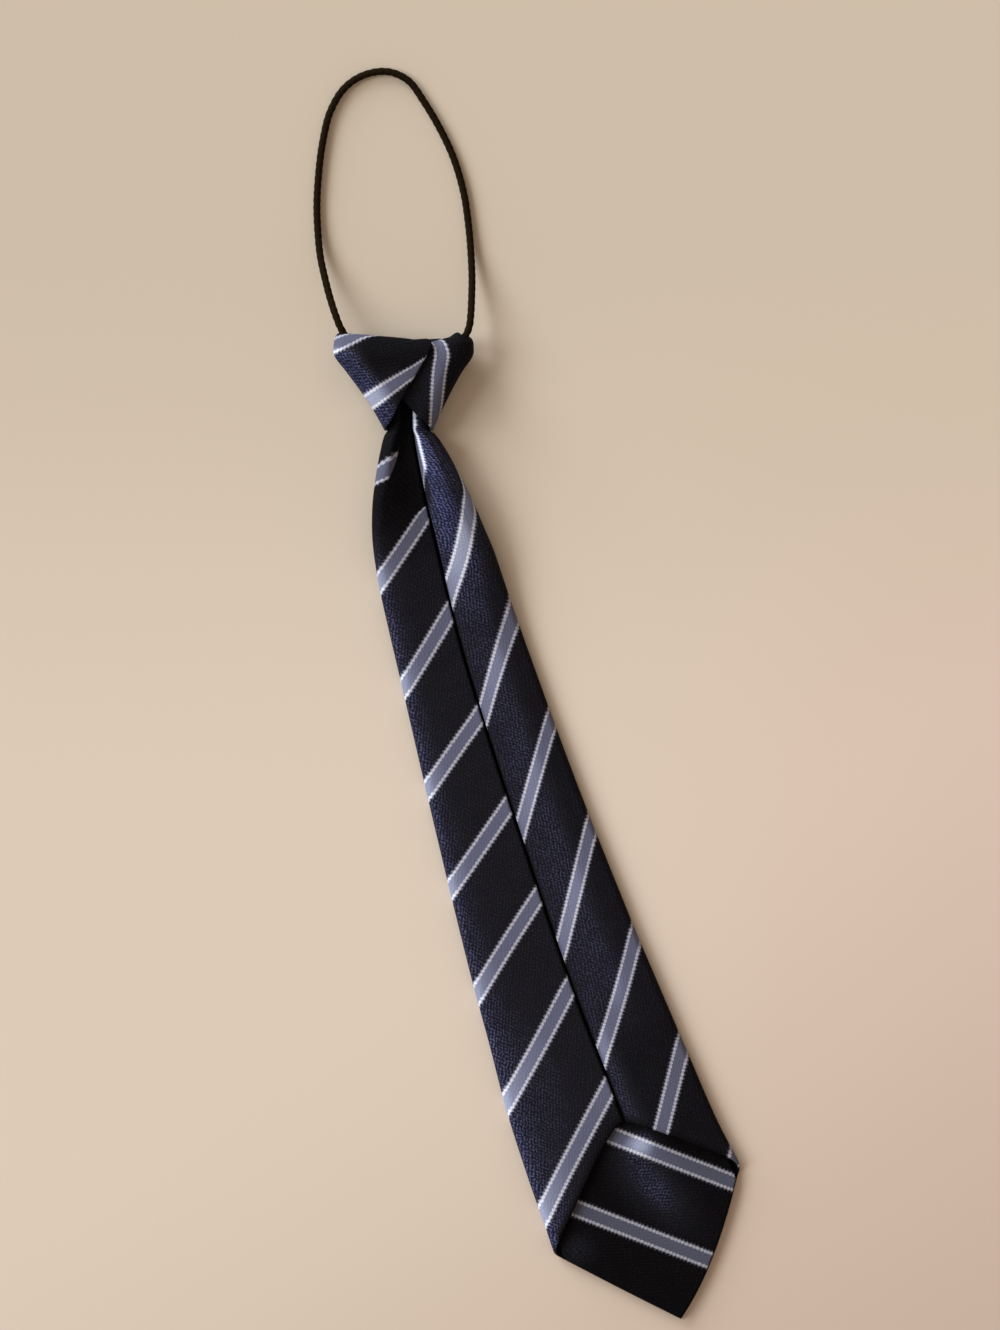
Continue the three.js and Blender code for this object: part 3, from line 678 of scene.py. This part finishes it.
def cord_curve(places):
    """Points on the elastic's middle line. A place is counted in points of its route."""
    route = np.array(CORD_ROUTE)
    route = np.vstack([2 * route[0] - route[1], route, 2 * route[-1] - route[-2]])
    found = []
    for place in places:
        k = min(int(place), len(CORD_ROUTE) - 2)
        t = place - k
        p = route[k:k + 4]
        gaps = np.sqrt(np.linalg.norm(np.diff(p, axis=0), axis=1))
        before = (p[1] - p[0]) / gaps[0] - (p[2] - p[0]) / (gaps[0] + gaps[1]) + (p[2] - p[1]) / gaps[1]
        after = (p[2] - p[1]) / gaps[1] - (p[3] - p[1]) / (gaps[1] + gaps[2]) + (p[3] - p[2]) / gaps[2]
        m, n = before * gaps[1], after * gaps[1]
        way = p[2] - p[1]
        found.append(p[1] + t * (m + t * (3 * way - 2 * m - n + t * (m + n - 2 * way))))
    return np.array(found)


def ring(sides, half_width, half_height):
    """Points on an oval, sideways and up. A half can be one number for each of many rings."""
    around = np.arange(sides) * 2 * math.pi / sides
    return np.stack([half_width * np.cos(around), half_height * np.sin(around)], -1)


def tube(name, path, rings, section, material, places, shine):
    """A tube round a path. rings: which point of the path each ring is round. section: each ring's offsets
    sideways and up. places: how far along and across each corner lies, with one more to close a ring."""
    ahead = np.gradient(path, axis=0)
    ahead /= np.linalg.norm(ahead, axis=1)[:, None]
    side = np.cross(ahead, [0, 0, 1])
    side /= np.linalg.norm(side, axis=1)[:, None]
    up = np.cross(side, ahead)
    offsets = section[..., :1] * side[rings][:, None] + section[..., 1:] * up[rings][:, None]
    points = (path[rings][:, None] + offsets).reshape(-1, 3)
    index = np.arange(len(points)).reshape(section.shape[:2])
    index = np.pad(index, ((0, len(places) - len(index)), (0, 1)), "wrap")
    places = places[..., [0, 1, 1]]
    corners = [places[:-1, :-1], places[1:, :-1], places[1:, 1:], places[:-1, 1:]]
    look = np.ones((len(points), 3))
    look[:, 0] = shine
    return make_piece(name, points, grid_faces(index), np.stack(corners, -2).reshape(-1, 3), look, material)


def along_path(path):
    """How far along a path each of its points is."""
    return np.insert(np.cumsum(np.linalg.norm(np.diff(path, axis=0), axis=1)), 0, 0)


def make_cord(material):
    """The elastic, with the low relief of its braid, and its middle line in the frame."""
    path = from_knot(cord_curve(np.linspace(0, len(CORD_ROUTE) - 1, CORD_GRID["along"])))
    sides = CORD_GRID["around"]
    around = np.arange(sides) * 2 * math.pi / sides
    length = along_path(path)
    turned = length[:, None] * BRAID["turn"]
    strands = np.cos(BRAID["strands"] * around + turned), np.cos(BRAID["strands"] * around - turned)
    radius = CORD_RADIUS + BRAID["low"] + BRAID["height"] * np.maximum(*strands)
    turn = np.linspace(0, 2 * math.pi * CORD_RADIUS, sides + 1)
    places = np.stack(np.meshgrid(length, turn, indexing="ij"), -1)
    section = ring(sides, radius, radius)
    cord = tube("braided_elastic", path, np.arange(len(path)), section, material, places, 0)
    return cord, in_frame(path)


def make_neckband(material):
    """The short band inside the knot: a closed wall, out along its outside and back along its inside."""
    last = len(CORD_ROUTE) - 1
    stops = np.linspace(NECKBAND["right_end"] - last, NECKBAND["left_end"], NECKBAND_GRID["along"])
    path = from_knot(cord_curve(np.where(stops < 0, stops + last, stops)))
    length = along_path(path)
    from_end = np.minimum(length, length[-1] - length)
    turn_in = np.clip(1 - from_end / NECKBAND_END["length"], 0, 1)
    size = 1 - NECKBAND_END["turn_in"] * (1 - np.sqrt(1 - turn_in ** 2))
    oval = ring(NECKBAND_GRID["around"], NECKBAND["half_height"], NECKBAND["half_depth"])
    outside = oval * size[:, None, None]
    wall = CLOTH / NECKBAND["half_height"] * np.minimum(1, NECKBAND_END["edge"] + from_end)
    inside = outside * (1 - wall)[:, None, None]
    rings = np.concatenate([np.arange(len(path)), np.arange(len(path))[::-1]])
    section = np.concatenate([outside, inside[::-1]])
    across = np.linspace(*NECKBAND_CLOTH, NECKBAND_GRID["around"] + 1) * PITCH
    grid = np.stack(np.meshgrid(along_path(path[rings]), across, indexing="ij"), -1)
    places = np.concatenate([grid, grid[:1]])
    return tube("neckband_tube", path, rings, section, material, places, NECKBAND_SHEEN)


def rgb(red, green, blue):
    """A colour as it looks on the screen, from 0 to 255, by the sRGB curve."""
    parts = (red, green, blue)
    return (*(((v / 255 + 0.055) / 1.055) ** 2.4 if v > 10 else v / 3294.6 for v in parts), 1)


WAVE_SHIFT = 7  # how far, in radians, unrest can move a wave


class Nodes:
    """A material whose nodes are joined by short calls."""

    def __init__(self, name):
        self.material = bpy.data.materials.new(name)
        self.material.use_nodes = True
        self.tree = self.material.node_tree
        self.shader = self.tree.nodes["Principled BSDF"]

    def put(self, socket, value):
        """Joins an output to a socket, or sets the socket to a value."""
        if isinstance(value, bpy.types.NodeSocket):
            self.tree.links.new(value, socket)
        else:
            socket.default_value = value

    def add(self, kind, inputs=(), **settings):
        """A new node, with the values or outputs for its first sockets."""
        node = self.tree.nodes.new("ShaderNode" + kind)
        for name, value in settings.items():
            setattr(node, name, value)
        for socket, value in zip(node.inputs, inputs):
            self.put(socket, value)
        return node

    def math(self, operation, *values):
        """A number worked out from others."""
        return self.add("Math", values, operation=operation).outputs[0]

    def mix(self, share, low, high):
        """A colour between two others. Inputs 6 and 7 and output 2 are the node's sockets for colours."""
        node = self.add("Mix", (share,), data_type="RGBA")
        self.put(node.inputs[6], low)
        self.put(node.inputs[7], high)
        return node.outputs[2]

    def parts(self, layer):
        """The two numbers that a UV layer holds."""
        return self.add("SeparateXYZ", (self.add("UVMap", uv_map=layer).outputs[0],)).outputs[:2]

    def wave(self, value, length, unrest):
        """A wave from -1 to 1 along a value, shifted a little to and fro."""
        shift = self.math("MULTIPLY", unrest, WAVE_SHIFT)
        return self.math("SINE", self.math("MULTIPLY_ADD", value, 2 * math.pi / length, shift))

    def noise(self, place, scale, dimensions="2D"):
        """Soft noise from 0 to 1, with this many features to each unit of its place."""
        node = self.add("TexNoise", (place,), noise_dimensions=dimensions)
        node.inputs["Scale"].default_value = scale
        return node.outputs["Fac"]

    def ramp(self, value, colours):
        """Colours at even steps from 0 to 1."""
        node = self.add("ValToRGB", (value,))
        elements = node.color_ramp.elements
        for k in range(1, len(colours) - 1):
            elements.new(k / (len(colours) - 1))
        for element, colour in zip(elements, colours):
            element.color = rgb(*colour)
        return node.outputs[0]

    def between(self, value, low, high):
        """0 below low, 1 above high, and a smooth rise between them."""
        return self.add("MapRange", (value, low, high), interpolation_type="SMOOTHSTEP").outputs[0]

    def bump(self, height, strength, distance):
        """The normal of a surface with this relief, whose depth is a distance in mm."""
        node = self.add("Bump")
        self.put(node.inputs["Height"], height)
        node.inputs["Strength"].default_value = strength
        node.inputs["Distance"].default_value = distance * MM
        return node.outputs[0]

    def finish(self, **values):
        """Sets the shader's own sockets, and gives the material."""
        for name, value in values.items():
            self.put(self.shader.inputs[name.replace("_", " ")], value)
        return self.material


# The twill, in mm: the length of its rows and of its floats, how far each row steps on, the length of the
# teeth beside the stripes, and the depth of its relief.
TWILL = {"row": 1.0, "float": 1.15, "step": 0.45, "tooth": 1.3, "depth": 0.12}
TWILL_NOISE = {"unrest": 0.3, "patches": 0.16, "speckle": 1.5}  # features to a mm
# How strong its rows, floats and speckle are, where in their sum a thread rises, and how much more of the
# threads shows in patches than its least.
THREADS = {"rows": 0.45, "floats": 0.6, "speckle": 5.0, "rise": (-0.6, 1.5), "patches": (0.5, 0.7)}
PATCH_EDGE = (0.3, 0.7)
LINE_TEETH = 0.2  # how much of the middle's colour the teeth bring into the pale line
WEAVE_IN_STRIPES = 0.2
# Edges in a stripe, in mm from its middle: where its pale line begins, where the line ends, and where the
# teeth beside it end. Each runs over a soft edge, and the teeth move it by so much.
STRIPE_EDGES = {"line": (0.1, 1.58, 1.82), "line_end": (-0.08, 2.4, 2.6), "teeth_end": (-0.25, 2.75, 3.0)}
# The cloth's colours on the screen, at even steps from no painted sheen to the whole of it. The painted
# sheen makes each part lighter and bluer.
CLOTH_COLOURS = {
    "navy": [(8, 7, 9), (23, 22, 27), (23, 23, 35), (28, 30, 51)],
    "thread": [(18, 16, 18), (37, 36, 44), (76, 77, 105), (83, 87, 131)],
    "middle": [(83, 84, 100), (95, 97, 120), (140, 146, 173), (176, 184, 211)],
    "line": [(168, 166, 177), (178, 176, 188), (226, 227, 240), (234, 236, 250)],
    "fringe": [(70, 69, 76), (104, 104, 118), (150, 155, 180)],
}
LINING_SHADE = 0.85
SHADE_COLOUR = (6, 5, 6)


def striped_cloth(name, shade=1.0):
    """Dark twill with blue-grey stripes between pale lines, whose outer sides are toothed by the weave."""
    n = Nodes(name)
    flat = n.add("UVMap", uv_map="threads").outputs[0]
    along, across = n.parts("threads")
    stripe, width = n.parts("stripes")
    sheen, shown = n.parts("sheen")
    # Threads: short floats in rows across the stripes, each row a step on from the one before it.
    unrest = n.math("SUBTRACT", n.noise(flat, TWILL_NOISE["unrest"]), 0.5)
    speckle = n.math("SUBTRACT", n.noise(flat, TWILL_NOISE["speckle"]), 0.5)
    patches = n.between(n.noise(flat, TWILL_NOISE["patches"]), *PATCH_EDGE)
    rows = n.wave(along, TWILL["row"], unrest)
    floats = n.wave(n.math("MULTIPLY_ADD", along, TWILL["step"], across), TWILL["float"], unrest)
    threads = n.math("MULTIPLY", speckle, THREADS["speckle"])
    threads = n.math("MULTIPLY_ADD", floats, THREADS["floats"], threads)
    threads = n.math("MULTIPLY_ADD", rows, THREADS["rows"], threads)
    shares = n.math("MULTIPLY_ADD", patches, *THREADS["patches"])
    weave = n.math("MULTIPLY", n.between(threads, *THREADS["rise"]), shares)
    # The colour of each part at its painted sheen
    colours = {part: n.ramp(sheen, steps) for part, steps in CLOTH_COLOURS.items()}
    teeth = n.wave(along, TWILL["tooth"], unrest)
    twill = n.mix(weave, colours["navy"], colours["thread"])
    in_teeth = n.math("MULTIPLY_ADD", teeth, -LINE_TEETH, LINE_TEETH)
    line = n.mix(in_teeth, colours["line"], colours["middle"])
    # Stripes
    from_middle = n.math("DIVIDE", n.math("PINGPONG", stripe, PITCH / 2), width)
    past = {}
    for edge, (by_teeth, low, high) in STRIPE_EDGES.items():
        past[edge] = n.between(n.math("MULTIPLY_ADD", teeth, by_teeth, from_middle), low, high)
    colour = n.mix(past["line"], colours["middle"], line)
    colour = n.mix(n.math("MULTIPLY", weave, WEAVE_IN_STRIPES), colour, colours["fringe"])
    colour = n.mix(past["line_end"], colour, colours["fringe"])
    plain = n.math("MAXIMUM", past["teeth_end"], n.math("SUBTRACT", 1, shown))
    colour = n.mix(plain, colour, twill)
    colour = n.mix(1 - shade, colour, rgb(*SHADE_COLOUR))
    relief = n.bump(weave, strength=0.5, distance=TWILL["depth"])
    return n.finish(Base_Color=colour, Roughness=0.6, Normal=relief, Specular_IOR_Level=0.025)


# The elastic's colours in the hollows and on the crests of its braid. The lighter brown on the crests is a
# painted highlight.
ELASTIC_COLOURS = {"low": (13, 8, 2), "high": (37, 25, 9)}
ELASTIC_THREAD = {"pitch": 0.45, "depth": 0.06}  # in mm


def braided_elastic():
    """Black thread braided round a core, a little brown where it catches the light, painted as a highlight
    on the crests of its braid.
    """
    n = Nodes("elastic_braid")
    along, across = n.parts("threads")
    turns = n.math("MULTIPLY", n.math("ADD", along, across), 2 * math.pi / ELASTIC_THREAD["pitch"])
    thread = n.math("SINE", turns)
    relief = n.bump(thread, strength=0.4, distance=ELASTIC_THREAD["depth"])
    height = n.math("MULTIPLY_ADD", thread, 0.5, 0.5)
    colour = n.mix(height, rgb(*ELASTIC_COLOURS["low"]), rgb(*ELASTIC_COLOURS["high"]))
    return n.finish(Base_Color=colour, Roughness=0.8, Normal=relief, Specular_IOR_Level=0.05)


# The table's two plain colours, and how it changes from them: along a way, between two places in metres.
# These changes are painted shade: darker towards the picture's top and its lower right, and a little
# pinker at its right.
TABLE_COLOURS = [(218, 204, 186), (219, 201, 185)]
TABLE_PAINTED_SHADE = [
    {"way": (0.949, -0.316, 0), "from": -0.03, "to": 0.16, "colour": (216, 194, 178)},
    {"way": (0.316, 0.949, 0), "from": 0.0, "to": 0.2, "colour": (204, 189, 170)},
    {"way": (0.2, -0.98, 0), "from": 0.02, "to": 0.27, "colour": (195, 174, 157)},
]
TABLE_GRAIN = {"share": 0.06, "colour": (196, 178, 158), "scale": 900}
TABLE_CLOUD_SCALE = 4


def table_top():
    """The plain warm surface that the tie lies on, with painted shade that makes it duller towards the
    picture's top and its lower right.
    """
    n = Nodes("table_top")
    place = n.add("TexCoord").outputs["Object"]
    colour = n.mix(n.noise(place, TABLE_CLOUD_SCALE, "3D"), *(rgb(*colour) for colour in TABLE_COLOURS))
    for change in TABLE_PAINTED_SHADE:
        along = n.add("VectorMath", (place, change["way"]), operation="DOT_PRODUCT").outputs["Value"]
        colour = n.mix(n.between(along, change["from"], change["to"]), colour, rgb(*change["colour"]))
    grain = n.math("MULTIPLY", n.noise(place, TABLE_GRAIN["scale"], "3D"), TABLE_GRAIN["share"])
    colour = n.mix(grain, colour, rgb(*TABLE_GRAIN["colour"]))
    return n.finish(Base_Color=colour, Roughness=0.75, Specular_IOR_Level=0.1)


# The camera's place, in metres. Its height is counted from the level where a pixel is just 1/3 mm.
CAMERA = {"across": 0.0098, "up": 0.052, "height": 2.5, "level": 0.001, "sensor": 36}
FRAME_HEIGHT = 1330  # pixels
PIXEL = MM / 3


def make_camera():
    """Straight above the tie, and turned as the photo is."""
    camera = bpy.data.cameras.new("camera")
    camera.sensor_fit = "VERTICAL"
    camera.sensor_height = CAMERA["sensor"]
    camera.lens = CAMERA["sensor"] * CAMERA["height"] / (FRAME_HEIGHT * PIXEL)
    eye = new_object("camera", camera)
    eye.location = (CAMERA["across"], CAMERA["up"], CAMERA["height"] + CAMERA["level"])
    eye.rotation_euler = (0, 0, -KNOT_LEAN)
    bpy.context.scene.camera = eye


# Each window's light comes from its place towards the origin.
WINDOWS = {
    "window": {"place": (-0.892, 0.455, 0.72), "energy": 1.94},
    "far_window": {"place": (-0.368, 0.93, 0.33), "energy": 3.23},
}
WINDOW_COLOUR = (0.852, 0.937, 1)
WINDOW_ANGLE = math.radians(32)  # how wide a window looks from the tie
ROOM = {"colour": (1, 0.82, 0.66, 1), "strength": 0.45}


def make_lights():
    """A wide window at the left of the picture and at its upper left, and light from all round."""
    for name, window in WINDOWS.items():
        light = bpy.data.lights.new(name, "SUN")
        light.angle = WINDOW_ANGLE
        light.energy = window["energy"]
        light.color = WINDOW_COLOUR
        lamp = new_object(name, light)
        lamp.location = window["place"]
        lamp.rotation_euler = (-lamp.location).to_track_quat("-Z", "Y").to_euler()
    world = bpy.data.worlds.new("room")
    world.use_nodes = True
    background = world.node_tree.nodes["Background"]
    background.inputs["Color"].default_value = ROOM["colour"]
    background.inputs["Strength"].default_value = ROOM["strength"]
    bpy.context.scene.world = world
    bpy.context.scene.view_settings.view_transform = "Standard"


TABLE = {"reach": 3.0, "level": -0.00005}  # in metres: from its middle to its sides, and just below the tie


def make_floor():
    """The table's surface."""
    mesh = bpy.data.meshes.new("table_surface")
    corners = [(-1, -1), (1, -1), (1, 1), (-1, 1)]
    points = [(x * TABLE["reach"], y * TABLE["reach"], TABLE["level"]) for x, y in corners]
    mesh.from_pydata(points, [], [(0, 1, 2, 3)])
    mesh.materials.append(table_top())
    floor = new_object("table_surface", mesh)


def stand_for(piece, node):
    """Says that a piece rides on the tie, and which solid it replaces."""
    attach(piece, "root")
    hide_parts(node)


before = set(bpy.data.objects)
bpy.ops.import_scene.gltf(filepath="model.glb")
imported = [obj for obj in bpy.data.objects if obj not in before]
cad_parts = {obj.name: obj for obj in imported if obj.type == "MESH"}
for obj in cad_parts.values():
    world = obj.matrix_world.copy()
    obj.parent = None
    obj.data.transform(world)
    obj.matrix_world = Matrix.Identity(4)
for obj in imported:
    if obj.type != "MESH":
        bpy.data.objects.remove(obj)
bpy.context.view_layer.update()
make_camera()
make_lights()
make_floor()

elastic, path = make_cord(braided_elastic())
stand_for(elastic, "elastic_cord")

cloth = striped_cloth("striped_twill")
lining = striped_cloth("lining_twill", shade=LINING_SHADE)
blade = make_blade(cloth)
stand_for(blade, "blade")
tipping = make_tipping(lining)
stand_for(tipping, "tipping")
knot = make_knot_wrap(cloth)
stand_for(knot, "knot_wrap")
band = make_neckband(cloth)
stand_for(band, "neckband")
